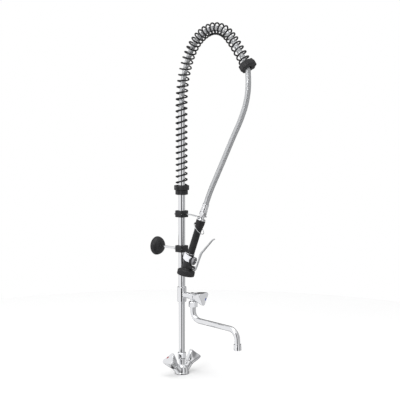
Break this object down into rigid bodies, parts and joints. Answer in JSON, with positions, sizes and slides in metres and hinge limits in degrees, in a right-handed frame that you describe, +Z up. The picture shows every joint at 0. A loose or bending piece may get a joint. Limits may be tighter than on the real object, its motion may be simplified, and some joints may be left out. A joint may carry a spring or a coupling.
{
  "type": "pre-rinse faucet",
  "caption": "Deck mounted pre-rinse unit with twin mixer handles, riser tap with swivel spout, sprung overhead hose and trigger spray gun hung in a fork.",
  "frame": {"origin": "centre of the mixer's underside, on the deck it is bolted to", "axes": "+Z up along the riser, +Y towards the wall behind the unit, -Y towards the user, hot handle on -X and cold handle on +X"},
  "size_m": [0.1446, 0.4246, 1.146],
  "materials": {
    "chrome": "bright polished chrome plate",
    "brass": "plain machined brass",
    "steel": "stainless steel wire and strip",
    "braid": "woven stainless wire braid",
    "black_plastic": "moulded, fine grain, satin",
    "black_rubber": "soft moulded rubber",
    "spring_coat": "black plastic coated spring wire",
    "white_label": "white printed band with the print left out",
    "white_nylon": "plain nylon",
    "red_mark": "gloss insert",
    "blue_mark": "gloss insert"
  },
  "bodies": {
    "stand": {"base_gasket": "black_rubber", "mixer_body": "chrome", "riser_nut": "chrome", "riser_seals": "black_rubber", "lower_riser": "chrome", "tee_body": "chrome", "tap_headwork": "brass", "spout_nut": "chrome", "spout_bush": "white_nylon", "upper_riser": "chrome", "wall_clamp_front": "black_plastic", "wall_clamp_back": "black_plastic", "hook_clamp_front": "black_plastic", "hook_clamp_back": "black_plastic", "clamp_screws": "steel", "wall_rod": "chrome", "wall_plate": "steel", "wall_flange": "black_plastic", "hook_wire": "steel", "spring_foot": "black_plastic", "spring": "spring_coat", "spring_end_nut": "black_plastic", "hose_coupling": "chrome", "sprung_hose": "braid", "free_hose": "braid", "hot_headwork": "brass", "cold_headwork": "brass"},
    "hot_control": {"hot_spindle": "brass", "hot_handle": "chrome", "hot_index": "red_mark", "hot_handle_screw": "steel"},
    "cold_control": {"cold_spindle": "brass", "cold_handle": "chrome", "cold_index": "blue_mark", "cold_handle_screw": "steel"},
    "tap_control": {"tap_spindle": "brass", "tap_handle": "chrome", "tap_index": "blue_mark", "tap_handle_screw": "steel"},
    "spout": {"spout_tube": "chrome", "aerator_housing": "chrome", "aerator_insert": "white_nylon"},
    "hose_end": {"hose_ferrule": "chrome", "swivel_nut": "chrome"},
    "gun": {"gun_collar": "chrome", "gun_tube": "brass", "gun_grip": "black_plastic", "gun_body": "black_plastic", "trim_ring": "chrome", "label_band": "white_label", "valve_cap": "chrome", "valve_spring": "steel", "pivot_pin": "steel", "spray_housing": "black_plastic", "bumper": "black_rubber", "spray_plate": "black_plastic", "spray_screw": "steel"},
    "trigger": {"lever": "steel"},
    "valve": {"valve_stem": "steel"},
    "latch": {"latch_ring": "steel"}
  },
  "joints": [
    {"name": "hot_turn", "type": "hinge", "parent": "stand", "child": "hot_control", "pos_m": [0, 0, -0.003], "axis": [-0.7071, 0, 0.7071], "range_deg": [0, 90]},
    {"name": "cold_turn", "type": "hinge", "parent": "stand", "child": "cold_control", "pos_m": [0, 0, -0.003], "axis": [0.7071, 0, 0.7071], "range_deg": [0, 90]},
    {"name": "tap_turn", "type": "hinge", "parent": "stand", "child": "tap_control", "pos_m": [0, 0, 0.265], "axis": [0, -1, 0], "range_deg": [0, 90]},
    {"name": "spout_swing", "type": "hinge", "parent": "stand", "child": "spout", "pos_m": [0, -0.0515, 0.2], "axis": [0, 0, 1], "range_deg": [-120, 120]},
    {"name": "gun_lift", "type": "slide", "parent": "stand", "child": "hose_end", "axis": [0, -1, 0], "range_m": [0, 0.1], "deforming": ["free_hose"]},
    {"name": "gun_swivel", "type": "hinge", "parent": "hose_end", "child": "gun", "pos_m": [0, -0.091, 0.528], "axis": [-0.139, 0.2681, -0.9533], "range_deg": [-40, 40]},
    {"name": "lever_squeeze", "type": "hinge", "parent": "gun", "child": "trigger", "pos_m": [-0.01565, -0.07087, 0.36076], "axis": [-0.9498, -0.3086, 0.0517], "range_deg": [0, 14], "stiffness_Nm_per_rad": 1.5, "springref_deg": -17.19},
    {"name": "valve_push", "type": "slide", "parent": "gun", "child": "valve", "axis": [-0.2803, 0.9126, 0.2975], "range_m": [0, 0.0056], "deforming": ["valve_spring"]},
    {"name": "latch_swing", "type": "hinge", "parent": "gun", "child": "latch", "pos_m": [-0.00838, -0.0687, 0.50717], "axis": [-0.9498, -0.3086, 0.0517], "range_deg": [-8, 34]}
  ],
  "couplings": [
    {"joint": "valve_push", "follows": "lever_squeeze", "m_per_rad": 0.022}
  ]
}
